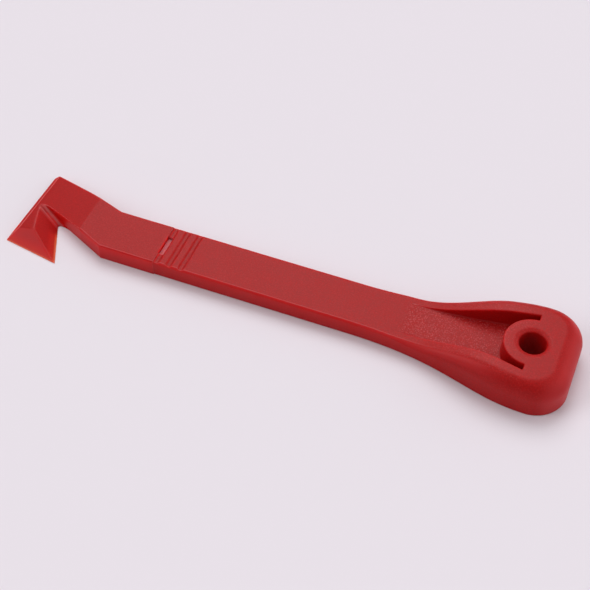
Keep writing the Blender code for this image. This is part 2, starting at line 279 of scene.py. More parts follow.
@labelled
class PlasticLook(PropertyGroup):
    """Colours and grain of the plastic."""

    red: colour("Colour of the plastic", (0.390, 0.0024, 0.0024))
    smooth_red: colour("Colour of the smooth wedge of the head", (0.395, 0.0020, 0.0020))
    # Painted light: a paler red mixed over the scraper's face, the neck's and the shank's sides, the block's
    # end and the rails' shoulders, where those faces would catch more light.
    painted_light_red: colour("Colour of the scraper's face", (0.490, 0.0150, 0.0170))
    # Painted glow: a bright red mixed over walls, hollows, thin parts and the seam, standing in for light
    # that the plastic lets through into places that lie in shade.
    painted_glow_red: colour("Colour where light comes through the plastic", (0.72, 0.003, 0.003))
    # Painted glow: the wedge's thin edges are made lighter and orange, as if light shone through them.
    glow: colour("Colour of thin edges that let light through", (1.0, 0.150, 0.060))
    # Painted glow as emission: the thinnest edges give out light of their own.
    edge_light: colour("Light out of the thinnest edges", (0.20, 0.032, 0.012))
    # Pale for the grain's specks, for worn spots, and for painted highlights on edges, the near rims, the
    # ridge and the notch's root.
    pale: colour("Colour of the grain's specks and of rubbed edges", (0.60, 0.135, 0.140))
    # Painted light: a pale pink over the key's top and the far end wall of its slot, which would otherwise
    # lie in shade.
    frost: colour("Colour of the key's frosted top", (0.70, 0.140, 0.160))
    gloss: share("Strength of the plastic's shine", 0.19)
    depth: share("Share of the light that passes through the plastic", 0.8)
    reach: length("How far light passes through the plastic", 0.0045)
    bleed: colour("Share of that reach for each colour of light", (1.0, 0.12, 0.08))
    roughness: share("Roughness of the grained plastic", 0.45)
    smooth_roughness: share("Roughness of the smooth wedge", 0.33)
    grain: length("Size of the moulded grain", 0.00060)
    grain_depth: length("Depth of the moulded grain", 0.00010)
    grain_relief: share("Strength of the grain's relief", 0.5)
    contrast: share("Difference of tone within the grain", 0.70)
    cloud: share("Difference of tone over wider patches", 0.10)
    specks: share("Strength of the grain's pale specks", 0.08)
    worn_specks: share("Added specks on the raised tops that hands rub", 0.16)
    pocket_specks: share("Added specks on the pocket's floor", 0.44)
    # Paleness of convex edges: part wear, part painted highlight.
    rubbed: share("Paleness of the rubbed edges", 0.42)


@labelled
class StageLook(PropertyGroup):
    """Table, light and camera."""

    table: colour("Colour of the table", (0.80, 0.742, 0.80))
    room: number("Strength of the dim room round the table", 0.315)
    ceiling: number("Strength of the bright ceiling behind the tool", 0.44)
    wall: number("Strength of the pale wall at the handle's end", 1.00)
    lamp: number("Strength of the wide lamp", 0.43)
    window: number("Strength of the window's light", 0.25)
    lens: number("Focal length in millimetres", 76.27, unit="CAMERA")


def ease(x, start, full):
    """Smooth rise from 0 at start to 1 at full."""
    t = np.clip((x - start) / (full - start), 0.0, 1.0)
    return t * t * (3.0 - 2.0 * t)


def curve(start, start_handle, end_handle, end, steps):
    """Points along a curve in plan."""
    flat = [Vector((x, y, 0.0)) for x, y in (start, start_handle, end_handle, end)]
    return [(point.x, point.y) for point in interpolate_bezier(*flat, steps)]


def outline_field(x, y, outline):
    """Distance in plan to a closed outline, negative inside it."""
    x = x[:, :, 0]
    y = y[:, :, 0]
    near = np.full(np.broadcast(x, y).shape, np.inf)
    inside = np.zeros(near.shape, bool)
    for (ax, ay), (bx, by) in zip(outline, outline[1:] + outline[:1]):
        run_x = bx - ax
        run_y = by - ay
        along = np.clip(((x - ax) * run_x + (y - ay) * run_y) / (run_x**2 + run_y**2), 0.0, 1.0)
        near = np.minimum(near, (x - ax - along * run_x) ** 2 + (y - ay - along * run_y) ** 2)
        crosses = (ay > y) != (by > y)
        inside ^= crosses & (x < ax + (y - ay) / (run_y or 1.0) * run_x)
    return (np.where(inside, -1.0, 1.0) * np.sqrt(near))[:, :, None]


def both(a, b, radius):
    """Field of what is inside a and inside b, with a round where they meet."""
    a = a + radius
    b = b + radius
    return np.minimum(np.maximum(a, b), 0.0) + np.hypot(np.maximum(a, 0.0), np.maximum(b, 0.0)) - radius


def block(x, y, z, x_range, half_width, z_range):
    """Field of a box that lies across the middle line."""
    across = np.abs(y) - half_width
    along = np.maximum(x_range[0] - x, x - x_range[1])
    return np.maximum(np.maximum(along, across), np.maximum(z_range[0] - z, z - z_range[1]))


def plane(x, y, z, point, normal):
    """Distance above a flat face."""
    return (x - point[0]) * normal[0] + (y - point[1]) * normal[1] + (z - point[2]) * normal[2]


def grid(low, high, cell):
    """Points of an even grid round a box, with the table's level half way between two of them."""
    low = [(np.floor(value / cell) - CELLS_BELOW) * cell for value in low]
    axes = [np.arange(start, stop + CELLS_ABOVE * cell, cell) for start, stop in zip(low, high)]
    return axes[0][:, None, None], axes[1][None, :, None], axes[2][None, None, :]


CORNERS = np.array([(i, j, k) for i in (0, 1) for j in (0, 1) for k in (0, 1)])
CELL_EDGES = [(a, b) for a in range(8) for b in range(a, 8) if abs(CORNERS[a] - CORNERS[b]).sum() == 1]


def skin_points(field, axes):
    """Points of a skin, one in each cell that the surface cuts, and each cell's place among them."""
    low = np.array([axis.flat[0] for axis in axes])
    cell = axes[0].flat[1] - axes[0].flat[0]
    solid = field < 0.0
    filled = np.zeros([size - 1 for size in field.shape], np.int8)
    for i, j, k in CORNERS:
        filled += solid[i : i + filled.shape[0], j : j + filled.shape[1], k : k + filled.shape[2]]
    cells = np.argwhere((filled > 0) & (filled < len(CORNERS)))
    total = np.zeros((len(cells), 3))
    hits = np.zeros((len(cells), 1))
    for a, b in CELL_EDGES:
        at_a = field[tuple((cells + CORNERS[a]).T)]
        at_b = field[tuple((cells + CORNERS[b]).T)]
        cut = (at_a < 0.0) != (at_b < 0.0)
        along = np.where(cut, at_a / np.where(cut, at_a - at_b, 1.0), 0.0)[:, None]
        total += (CORNERS[a] + along * (CORNERS[b] - CORNERS[a])) * cut[:, None]
        hits += cut[:, None]
    index = np.full(filled.shape, -1, np.int64)
    index[tuple(cells.T)] = np.arange(len(cells))
    return low + cell * (cells + total / hits), index


def skin_quads(solid, index):
    """Quads of a skin, one round each grid line that passes through the surface, all facing out."""
    quads = []
    for axis in range(3):
        first = np.take(solid, range(solid.shape[axis] - 1), axis)
        second = np.take(solid, range(1, solid.shape[axis]), axis)
        nodes = np.argwhere(first != second)
        ring = []
        for back_u, back_v in ((1, 1), (0, 1), (0, 0), (1, 0)):
            place = nodes.copy()
            place[:, (axis + 1) % 3] -= back_u
            place[:, (axis + 2) % 3] -= back_v
            ring.append(index[tuple(place.T)])
        quad = np.stack(ring, 1)
        turned = ~first[tuple(nodes.T)]
        quad[turned] = quad[turned][:, ::-1]
        quads.append(quad)
    return np.concatenate(quads)


def skin(name, field, axes):
    """Closed mesh of quads where a field passes through zero."""
    points, index = skin_points(field, axes)
    quads = skin_quads(field < 0.0, index)
    mesh = bpy.data.meshes.new(name)
    mesh.vertices.add(len(points))
    mesh.vertices.foreach_set("co", points.astype(np.float32).ravel())
    mesh.loops.add(quads.size)
    mesh.loops.foreach_set("vertex_index", quads.astype(np.int32).ravel())
    mesh.polygons.add(len(quads))
    mesh.polygons.foreach_set("loop_start", np.arange(0, quads.size, 4, dtype=np.int32))
    mesh.update(calc_edges=True)
    if mesh.validate():
        raise RuntimeError(f"the skin of {name} has bad faces")
    mesh.shade_smooth()
    return mesh


def keep_side(mesh, side, seam_x):
    """Cut a skin at the seam and keep one side of it: 1 towards the handle, -1 towards the hook."""
    sheet = bmesh.new()
    sheet.from_mesh(mesh)
    bmesh.ops.remove_doubles(sheet, verts=sheet.verts, dist=SLIVER)
    bmesh.ops.bisect_plane(
        sheet,
        geom=sheet.verts[:] + sheet.edges[:] + sheet.faces[:],
        dist=CUT_TOLERANCE,
        plane_co=(seam_x, 0.0, 0.0),
        plane_no=(-side, 0.0, 0.0),
        clear_outer=True,
    )
    sheet.to_mesh(mesh)
    sheet.free()


def cut_square(name, sheets, seam_x):
    """One closed mesh from skins that are cut at the seam, with a flat face between their cut edges."""
    joined = bmesh.new()
    for mesh, side in sheets:
        keep_side(mesh, side, seam_x)
        joined.from_mesh(mesh)
        bpy.data.meshes.remove(mesh)
    rim = [edge for edge in joined.edges if edge.is_boundary]
    outward = -sheets[0][1]
    filled = bmesh.ops.triangle_fill(joined, edges=rim, use_beauty=True, normal=(outward, 0.0, 0.0))
    for face in filled["geom"]:
        if isinstance(face, bmesh.types.BMFace):
            face.smooth = False
            if face.normal.x * outward < 0.0:
                face.normal_flip()
    for edge in rim:
        edge.smooth = False
    if not all(edge.is_manifold for edge in joined.edges):
        raise RuntimeError(f"the skin of {name} isn't closed at the seam")
    mesh = bpy.data.meshes.new(name)
    joined.to_mesh(mesh)
    joined.free()
    return mesh


def add_item(name, data):
    """Put an object with its data into the scene."""
    item = bpy.data.objects.new(name, data)
    bpy.context.scene.collection.objects.link(item)
    return item


def new_material(name, values):
    """Material and its shader, with plain values on the shader's own sockets."""
    material = bpy.data.materials.new(name)
    material.use_nodes = True
    shader = material.node_tree.nodes["Principled BSDF"]
    for label, value in values.items():
        shader.inputs[label].default_value = value
    return material, shader


def add_piece(name, mesh, node, material):
    """Show a skin in place of its solid."""
    item = add_item(name, mesh)
    item.data.materials.append(material)
    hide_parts(node)
    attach(item, "root")


def hole_axis(sizes):
    """Place of the hang hole along the tool."""
    return HANDLE_HIGH.x - sizes.hole_to_end


def handle_outline(sizes):
    """Plan of the handle, run on past the seam."""
    half = SHANK_WIDTH / 2
    half_block = HANDLE_HIGH.y
    corner_x = HANDLE_HIGH.x - sizes.corner
    flare_x = corner_x - sizes.flare
    side = [(SEAM_X - PLAN_OVERRUN, half)]
    side += curve(
        (flare_x, half),
        (flare_x + sizes.flare_in, half),
        (corner_x - sizes.flare_out, half_block),
        (corner_x, half_block),
        FLARE_STEPS,
    )
    for step in range(1, CORNER_STEPS + 1):
        turn = pi / 2 * (1.0 - step / CORNER_STEPS)
        side.append((corner_x + sizes.corner * cos(turn), half_block - sizes.corner * (1.0 - sin(turn))))
    return side + [(x, -y) for x, y in side[::-1]]


def pocket_outline(sizes):
    """Plan of the space between the rails and round the boss."""
    hole_x = hole_axis(sizes)
    start_x = hole_x - sizes.pocket_start
    end_x = hole_x - sizes.slot_end
    start_y = sizes.pocket_width / 2
    end_y = sizes.boss + sizes.slot
    wall = curve(
        (start_x, start_y),
        (start_x + sizes.pocket_in, start_y),
        (end_x - sizes.pocket_out, end_y - sizes.pocket_out * sizes.pocket_slope),
        (end_x, end_y),
        POCKET_STEPS,
    )
    first = pi / 2 + asin(sizes.slot_end / sizes.boss)
    boss = []
    for step in range(BOSS_STEPS + 1):
        turn = first + 2.0 * (pi - first) * step / BOSS_STEPS
        boss.append((hole_x + sizes.boss * cos(turn), sizes.boss * sin(turn)))
    return wall + boss + [(x, -y) for x, y in wall[::-1]]


def handle_body(sizes, x, y, z):
    """Field of the shank and the block, whose top edge grows rounder towards the hang hole."""
    hole_x = hole_axis(sizes)
    rise = ease(x, hole_x - sizes.rail_start, hole_x - sizes.rail_full)
    top = SHANK_TOP + (HANDLE_HIGH.z - SHANK_TOP) * rise
    grown = np.clip((x - hole_x + sizes.round_start) / (sizes.round_start - sizes.round_full), 0.0, 1.0)
    edge = sizes.shank_round + (sizes.block_round - sizes.shank_round) * grown
    to_end = ease(x, hole_x, HANDLE_HIGH.x - sizes.end_reach / 2)
    full_reach = sizes.block_reach + (sizes.end_reach - sizes.block_reach) * to_end
    reach = sizes.shank_round + (full_reach - sizes.shank_round) * grown
    plan = outline_field(x, y, handle_outline(sizes))
    drafted = plan + np.maximum(sizes.parting - z, 0.0) * tan(sizes.draft)
    return np.maximum(both(plan * edge / reach, z - top, edge), both(drafted, -z, sizes.bottom_round))


def cut_pocket(solid, sizes, x, y, z):
    """Sink the pocket, whose floor starts flush with the shank."""
    start_x = hole_axis(sizes) - sizes.pocket_start
    plan = outline_field(x, y, pocket_outline(sizes))
    sunk = ease(x, start_x, start_x + sizes.pocket_fall)
    space = both(plan, SHANK_TOP - sizes.pocket_drop * sunk - z, sizes.pocket_foot * sunk)
    lip = sizes.pocket_lip * ease(x, start_x + sizes.lip_start, start_x + sizes.lip_full)
    return both(solid, -space, lip)


def cut_hole(solid, sizes, x, y, z):
    """Bore the hang hole and dish its rim."""
    bore = np.hypot(x - hole_axis(sizes), y) - sizes.hole
    above = z - (HANDLE_HIGH.z - sizes.rim_depth)
    slant = hypot(sizes.rim_width, sizes.rim_depth)
    dish = (above * sizes.rim_width - bore * sizes.rim_depth) / slant
    return both(both(solid, dish, sizes.rim_edge), -bore, sizes.rim_round)


def groove_field(sizes, x, z, index):
    """Space of one groove across the shank. A narrow land lies between the seam and the first."""
    left = SEAM_X + sizes.groove_land + sizes.groove_pitch * index
    right = left + sizes.groove_width
    floor = SHANK_TOP - sizes.groove_depth
    lean = (sizes.groove_width - sizes.groove_floor) / 2 / sizes.groove_depth
    reach = (SHANK_TOP - z) * lean
    return both(np.maximum(x - right, left - x) + reach, floor - z, sizes.groove_foot)


def cut_socket(solid, joint, x, y, z):
    """Cut the slot for the key and the socket for the tongue."""
    past = SEAM_X - PLAN_OVERRUN
    slot = (past, SEAM_X + joint.key_width + joint.key_gap)
    half_key = joint.key / 2 + joint.key_gap
    solid = np.maximum(solid, -block(x, y, z, slot, half_key, (joint.tongue_low, ABOVE_ALL)))
    gap = joint.clearance
    socket = (past, SEAM_X + joint.tongue + gap)
    levels = (joint.tongue_low - gap, joint.tongue_high + gap)
    return np.maximum(solid, -block(x, y, z, socket, joint.tongue_width / 2 + gap, levels))


def handle_field(sizes, joint, axes):
    """Field of the handle with all its cuts, run on past the seam."""
    x, y, z = axes
    solid = handle_body(sizes, x, y, z)
    solid = cut_pocket(solid, sizes, x, y, z)
    solid = cut_hole(solid, sizes, x, y, z)
    for index in range(GROOVE_COUNT):
        solid = both(solid, -groove_field(sizes, x, z, index), sizes.groove_lip)
    solid = cut_socket(solid, joint, x, y, z)
    return np.maximum(solid, SEAM_X - OVERRUN - x)


def bevel_normal(start, end, slope):
    """Way that a bevel faces, where it rises from an edge over the head's middle."""
    along = (Vector(end) - Vector(start)).normalized()
    return Vector((along.y * sin(slope), -along.x * sin(slope), cos(slope)))


def barb_normal(sizes):
    """Way that the barb's bevel faces."""
    side = Vector((cos(sizes.barb_angle), sin(sizes.barb_angle), 0.0))
    return side * sin(sizes.barb_bevel) + Vector((0.0, 0.0, cos(sizes.barb_bevel)))


def scraper_edge(sizes):
    """Ends of the scraper's edge: the corner at the hook's end and the barb's tip."""
    return (HEAD_LOW.x, -sizes.corner_reach), (HEAD_LOW.x + sizes.barb_tip, -sizes.barb_reach)


def back_corner(sizes):
    """Far end of the hook's end edge."""
    lean = tan(sizes.back_angle)
    skew = tan(sizes.edge_skew)
    rise = SHANK_WIDTH / 2 + sizes.bend * lean + sizes.corner_reach
    back_y = rise / (1.0 + skew * lean) - sizes.corner_reach
    return HEAD_LOW.x + (back_y + sizes.corner_reach) * skew, back_y


def head_outline(sizes):
    """Plan of the hook head before its notch is cut, run on past the seam and the barb's tip."""
    half = SHANK_WIDTH / 2
    past_x = SEAM_X + PLAN_OVERRUN
    bend_x = HEAD_LOW.x + sizes.bend
    corner, tip = scraper_edge(sizes)
    run = (Vector(tip) - Vector(corner)).normalized() * TIP_OVERRUN
    past_tip = (tip[0] + run.x, tip[1] + run.y)
    near_bend = ((past_tip[0] + bend_x) / 2, -half)
    return [(past_x, half), (bend_x, half), back_corner(sizes), corner, past_tip, near_bend, (past_x, -half)]


def notch_frame(sizes):
    """Notch's corner on the table, the ways along, out of and across its root, and its half angle."""
    tip = Vector((*scraper_edge(sizes)[1], 0.0))
    wall_out = Vector((-sin(sizes.neck_angle), -cos(sizes.neck_angle), 0.0))
    barb_run = Vector((-sin(sizes.barb_angle), cos(sizes.barb_angle), 0.0))
    barb_out = barb_normal(sizes)
    bend = Vector((HEAD_LOW.x + sizes.bend, -SHANK_WIDTH / 2, 0.0))
    corner = tip + barb_run * ((bend - tip).dot(wall_out) / barb_run.dot(wall_out))
    root = wall_out.cross(barb_out).normalized()
    down_wall = wall_out.cross(root).normalized()
    if down_wall.dot(barb_out) < 0.0:
        down_wall = -down_wall
    down_barb = barb_out.cross(root).normalized()
    if down_barb.dot(wall_out) < 0.0:
        down_barb = -down_barb
    middle = (down_wall + down_barb).normalized()
    return corner, root, middle, root.cross(middle), down_wall.angle(down_barb) / 2


def notch_field(sizes, x, y, z):
    """Space of the notch between the neck's side and the barb's bevel, with a round root."""
    corner, _, middle, across, half = notch_frame(sizes)
    out = plane(x, y, z, corner, middle) - sizes.notch_round / sin(half)
    aside = np.abs(plane(x, y, z, corner, across))
    on_side = out * cos(half) + aside * sin(half) > 0.0
    return np.where(on_side, aside * cos(half) - out * sin(half), np.hypot(out, aside)) - sizes.notch_round


def head_field(sizes, axes):
    """Field of the hook head, run on past the seam."""
    x, y, z = axes
    fold_x = HEAD_LOW.x + sizes.fold
    plan = outline_field(x, y, head_outline(sizes))
    fall = plane(x, y, z, (fold_x, 0.0, SHANK_TOP), (-sin(sizes.top_fall), 0.0, cos(sizes.top_fall)))
    top = np.maximum(z - SHANK_TOP, fall)
    neck = ease(x, fold_x - sizes.neck_fade, fold_x + sizes.neck_full)
    edge = sizes.ridge_round + (sizes.neck_round - sizes.ridge_round) * neck
    solid = both(np.maximum(plan, -notch_field(sizes, x, y, z)), top, edge)
    corner, tip = scraper_edge(sizes)
    bevels = [(back_corner(sizes), corner, sizes.end_bevel), (corner, tip, sizes.scraper_bevel)]
    for start, end, slope in bevels:
        bevel = plane(x, y, z, (*start, sizes.edge_land), bevel_normal(start, end, slope))
        solid = both(solid, bevel, sizes.ridge_round)
    return np.maximum(solid, np.maximum(-z, x - SEAM_X - OVERRUN))


def tongue_field(joint, axes):
    """Field of the tongue and the key on it, run back past the seam."""
    x, y, z = axes
    past = SEAM_X - OVERRUN
    levels = (joint.tongue_low, joint.tongue_high)
    tongue = block(x, y, z, (past, SEAM_X + joint.tongue), joint.tongue_width / 2, levels)
    levels = (joint.tongue_low, joint.key_top)
    return np.minimum(tongue, block(x, y, z, (past, SEAM_X + joint.key_width), joint.key / 2, levels))


class Nodes:
    """Short way to add and link the nodes of one tree."""

    def __init__(self, tree):
        self.tree = tree

    def add(self, kind, inputs=None, **settings):
        """Add a node, set its own settings, and set or link its inputs."""
        node = self.tree.nodes.new(kind)
        for key, value in settings.items():
            setattr(node, key, value)
        for key, value in (inputs or {}).items():
            if isinstance(value, bpy.types.NodeSocket):
                self.link(value, node.inputs[key])
            else:
                node.inputs[key].default_value = value
        return node

    def link(self, source, target):
        """Lead one socket into another."""
        self.tree.links.new(source, target)

    def group(self, build, inputs=None):
        """Node of a shared group, which is built when it is first used and has its function's name."""
        tree = bpy.data.node_groups.get(build.__name__) or build(build.__name__)
        node = self.add("ShaderNodeGroup", node_tree=tree)
        for label, value in (inputs or {}).items():
            node.inputs[label].default_value = value
        return node

    def maths(self, operation, a, b=0.0):
        """One sum with two values or sockets."""
        return self.add("ShaderNodeMath", {0: a, 1: b}, operation=operation).outputs[0]

    def chain(self, operation, values):
        """One sum taken along a row of values or sockets."""
        result = values[0]
        for value in values[1:]:
            result = self.maths(operation, result, value)
        return result

    def times(self, *values):
        """Product of all."""
        return self.chain("MULTIPLY", values)

    def plus(self, *values):
        """Total of all."""
        return self.chain("ADD", values)

    def most(self, *values):
        """Largest of all."""
        return self.chain("MAXIMUM", values)

    def vector(self, operation, a, b, output=0):
        """One sum with two vectors."""
        return self.add("ShaderNodeVectorMath", {0: a, 1: b}, operation=operation).outputs[output]

    def dot(self, vector, toward):
        """How far a vector reaches one way."""
        return self.vector("DOT_PRODUCT", vector, toward, "Value")

    def split(self, vector):
        """The three parts of a vector."""
        return self.add("ShaderNodeSeparateXYZ", {0: vector}).outputs

    def step(self, value, span):
        """Smooth mask from 0 at the first end of a span to 1 at the other."""
        inputs = {"Value": value, "From Min": span[0], "From Max": span[1]}
        return self.add("ShaderNodeMapRange", inputs, interpolation_type="SMOOTHSTEP").outputs["Result"]

    def noise(self, place, scale, detail, roughness=0.5):
        """Cloudy value round a half."""
        inputs = {"Vector": place, "Scale": scale, "Detail": detail, "Roughness": roughness}
        return self.add("ShaderNodeTexNoise", inputs).outputs["Fac"]

    def grey(self, value):
        """Grey of one value."""
        return self.add("ShaderNodeCombineColor", {0: value, 1: value, 2: value}).outputs[0]

    def mix(self, factor, a, b, blend="MIX"):
        """Colour between two colours."""
        a, b = (paint if isinstance(paint, bpy.types.NodeSocket) else (*paint, 1.0) for paint in (a, b))
        inputs = {0: factor, 6: a, 7: b}
        return self.add("ShaderNodeMix", inputs, data_type="RGBA", blend_type=blend).outputs[2]


class Surface:
    """Place on a skin and the ways that it faces, flat and smoothed, for the masks of one tree."""

    def __init__(self, nodes):
        geometry = nodes.add("ShaderNodeNewGeometry")
        self.nodes = nodes
        self.position = nodes.add("ShaderNodeTexCoord").outputs["Object"]
        self.flat = geometry.outputs["True Normal"]
        self.smooth = geometry.outputs["Normal"]
        self.parts = {}
        for kind, vector in (("", self.position), ("flat_", self.flat), ("smooth_", self.smooth)):
            for axis, part in zip("xyz", nodes.split(vector)):
                self.parts[kind + axis] = part
        self.parts["beside"] = nodes.maths("ABSOLUTE", self.parts["y"])
        self.parts["sideways"] = nodes.maths("ABSOLUTE", self.parts["smooth_y"])

    def area(self, **spans):
        """Mask of an area. Each part that bounds it has a span that runs from outside to inside."""
        return self.nodes.times(*(self.nodes.step(self.parts[part], span) for part, span in spans.items()))


def beyond(base, outside, inside):
    """Span that is counted from a base."""
    return base + outside, base + inside


def new_group(name, inputs, outputs):
    """Empty node group with its sockets."""
    group = bpy.data.node_groups.new(name, "ShaderNodeTree")
    for way, labels in (("INPUT", inputs), ("OUTPUT", outputs)):
        for label in labels:
            group.interface.new_socket(label, in_out=way, socket_type="NodeSocketFloat")
    nodes = Nodes(group)
    return nodes, nodes.add("NodeGroupInput").outputs, nodes.add("NodeGroupOutput").inputs


def moulded_grain(name):
    """Fine spark-eroded grain with a slow cloudiness: a tone round 1, a mask of pale specks and a height."""
    nodes, given, result = new_group(name, ["Size", "Contrast", "Cloud"], ["Tone", "Specks", "Height"])
    place = nodes.add("ShaderNodeTexCoord").outputs["Object"]
    scale = nodes.maths("DIVIDE", 1.0, given["Size"])
    fine = nodes.noise(place, scale, detail=2.0, roughness=0.6)
    cells = nodes.add("ShaderNodeTexVoronoi", {"Vector": place, "Scale": scale}, feature="F1")
    pits = cells.outputs["Distance"]
    cloud = nodes.noise(place, CLOUD_PATCHES, detail=3.0)
    spread = nodes.times(nodes.maths("SUBTRACT", fine, 0.5), given["Contrast"])
    drift = nodes.times(nodes.maths("SUBTRACT", cloud, 0.5), given["Cloud"])
    nodes.link(nodes.plus(spread, drift, 1.0), result["Tone"])
    nodes.link(nodes.times(nodes.step(pits, SPECK_PITS), nodes.step(fine, SPECK_TONES)), result["Specks"])
    nodes.link(nodes.plus(nodes.times(fine, FINE_HEIGHT), nodes.times(pits, PIT_HEIGHT)), result["Height"])
    return nodes.tree


def rubbed_and_highlit_edge(name):
    """Mask of the convex edges, broken up by wear: partly wear, partly a painted highlight."""
    nodes, _, result = new_group(name, [], ["Mask"])
    point = nodes.add("ShaderNodeNewGeometry").outputs["Pointiness"]
    edge = nodes.step(point, EDGE_POINTS)
    wear = nodes.noise(nodes.add("ShaderNodeTexCoord").outputs["Object"], WEAR_PATCHES, detail=4.0)
    nodes.link(nodes.times(edge, nodes.step(wear, WEAR_BREAKS)), result["Mask"])
    return nodes.tree


def near_rim_highlight(name):
    """Mask of a painted highlight along the line where a top starts to round over to the near side."""
    nodes, _, result = new_group(name, [], ["Mask"])
    at = Surface(nodes)
    starts = at.area(smooth_y=(-0.10, -0.18), smooth_z=(0.5, 0.8))
    nodes.link(nodes.times(starts, at.area(smooth_y=(-0.46, -0.34))), result["Mask"])
    return nodes.tree


def start_plastic(name, look):
    """Red plastic with its plain values set, and the grain that its colour is built with."""
    values = {
        "Specular IOR Level": look.gloss,
        "Subsurface Weight": look.depth,
        "Subsurface Radius": look.bleed,
        "Subsurface Scale": look.reach,
    }
    material, shader = new_material(name, values)
    material.diffuse_color = (*look.red, 1.0)
    nodes = Nodes(material.node_tree)
    grain = nodes.group(moulded_grain, {"Size": look.grain, "Contrast": look.contrast, "Cloud": look.cloud})
    return material, shader, nodes, grain


def grained(nodes, grain, red, specks, pale):
    """Red with the grain's tone in it and its pale specks over it."""
    toned = nodes.mix(1.0, red, nodes.grey(grain.outputs["Tone"]), blend="MULTIPLY")
    return nodes.mix(nodes.times(grain.outputs["Specks"], specks), toned, pale)


def finish_plastic(nodes, shader, grain, look, body, roughness, relief, rubbed):
    """Paint the convex edges pale, as wear and as painted highlight, and join colour, roughness and grain to
    the shader.
    """
    worn_and_sheen = nodes.times(nodes.group(rubbed_and_highlit_edge).outputs["Mask"], rubbed, look.rubbed)
    nodes.link(nodes.mix(worn_and_sheen, body, look.pale), shader.inputs["Base Color"])
    nodes.link(roughness, shader.inputs["Roughness"])
    height = nodes.times(grain.outputs["Height"], relief)
    bump = {"Height": height, "Distance": look.grain_depth, "Strength": look.grain_relief}
    nodes.link(nodes.add("ShaderNodeBump", bump).outputs["Normal"], shader.inputs["Normal"])


def pocket_floor(at, sizes):
    """Area of the pocket's floor."""
    along = beyond(hole_axis(sizes) - sizes.pocket_start, 0.0, sizes.pocket_fall / 2)
    return at.area(x=along, z=beyond(SHANK_TOP, 0.0, -sizes.pocket_drop / 4), flat_z=(0.95, 0.99))


def worn_and_sheen_tops(at, hole_x):
    """Area of the raised tops that hands rub, which get worn paleness and painted sheen."""
    return at.area(z=beyond(SHANK_TOP, 0.0005, 0.0040), x=beyond(hole_x, 0.006, -0.014), flat_z=(0.75, 0.95))


def painted_sheen_places(nodes, at, hole_x):
    """Area of painted sheen: the block's end and the rails' shoulders."""
    end = at.area(x=beyond(HANDLE_HIGH.x, -0.0177, -0.0077), flat_x=(0.2, 0.6))
    shoulder = at.area(x=beyond(hole_x, -0.066, -0.054), flat_z=(0.92, 0.78))
    up_to_hole = at.area(x=beyond(hole_x, -0.004, -0.018), flat_z=(0.25, 0.50))
    return nodes.most(end, nodes.times(shoulder, up_to_hole))


def key_slot(at, joint):
    """Area of the walls of the key's slot, which get painted glow where they lie in shade."""
    return at.area(
        x=beyond(SEAM_X + joint.key_width, 0.0003, 0.0001),
        z=beyond(SHANK_TOP, -0.0002, -0.0004),
        beside=beyond(joint.key / 2, 0.0004, 0.0002),
    )


def groove_wall_glow(nodes, at, sizes):
    """Strength of painted glow on the grooves' walls that face the hang hole, which lie in shade, most on the
    one beside the seam.
    """
    end_x = SEAM_X + (GROOVE_COUNT - 1) * sizes.groove_pitch + sizes.groove_width
    walls = at.area(flat_x=(0.25, 0.50), x=beyond(end_x, 0.0, -0.0005))
    first = nodes.times(at.area(x=beyond(SEAM_X, 0.0010, 0.0007)), FIRST_GROOVE_PAINTED_GLOW)
    return nodes.times(walls, nodes.plus(GROOVES_PAINTED_GLOW, first))


